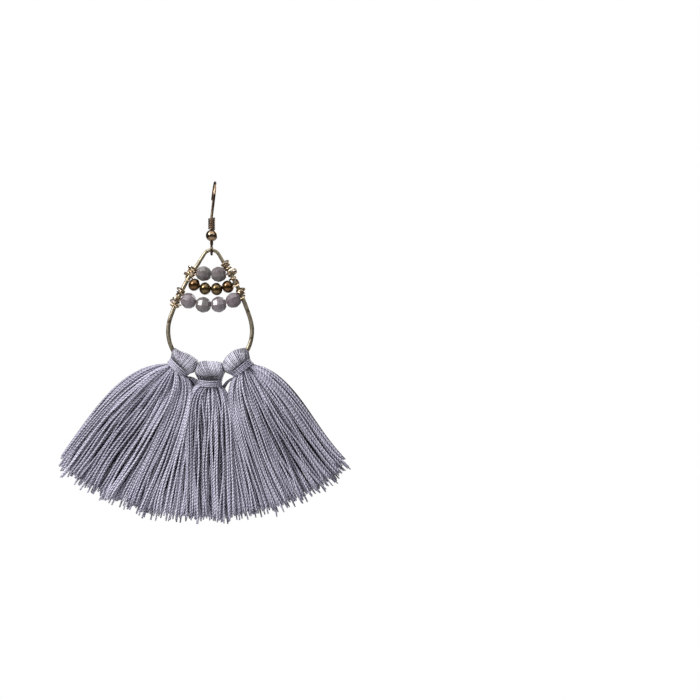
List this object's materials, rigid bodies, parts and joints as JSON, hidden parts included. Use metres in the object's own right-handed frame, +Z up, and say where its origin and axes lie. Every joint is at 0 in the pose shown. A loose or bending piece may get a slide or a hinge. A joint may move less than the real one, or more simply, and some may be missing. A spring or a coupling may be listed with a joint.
{
  "type": "tassel earring",
  "caption": "Drop earring with a French hook, a teardrop hoop crossed by rows of beads, and spread thread tassels.",
  "frame": {"origin": "underside of the ear wire at the top of its bend, where it rests in the ear", "axes": "+Z up, +X to the right as seen from the front, the front faces -Y"},
  "size_m": [0.0743, 0.0122, 0.0878],
  "materials": {
    "hook_metal": "antiqued copper, polished",
    "hoop_metal": "antiqued brass, hammered",
    "cut_beads": "smoky grey, satin, cut with facets",
    "round_beads": "bronze lustre, glossy",
    "row_wire": "antiqued brass wire",
    "thread": "lavender grey twisted thread, soft sheen"
  },
  "bodies": {
    "hook": {"ear_hook": "hook_metal", "hook_coil": "hook_metal", "hook_ball": "hook_metal"},
    "drop": {"hoop": "hoop_metal", "bead_top_1": "cut_beads", "bead_top_2": "cut_beads", "bead_mid_1": "round_beads", "bead_mid_2": "round_beads", "bead_mid_3": "round_beads", "bead_mid_4": "round_beads", "bead_low_1": "cut_beads", "bead_low_2": "cut_beads", "bead_low_3": "cut_beads", "bead_low_4": "cut_beads", "wire_top": "row_wire", "wire_mid": "row_wire", "wire_low": "row_wire", "tassel_left": "thread", "tassel_mid": "thread", "tassel_right": "thread", "binding_left": "thread", "binding_mid": "thread", "binding_right": "thread"}
  },
  "joints": [
    {"name": "drop_swing", "type": "hinge", "parent": "hook", "child": "drop", "pos_m": [-0.00063, -0.0037, -0.01728], "axis": [1, 0, 0], "range_deg": [-90, 90]}
  ]
}
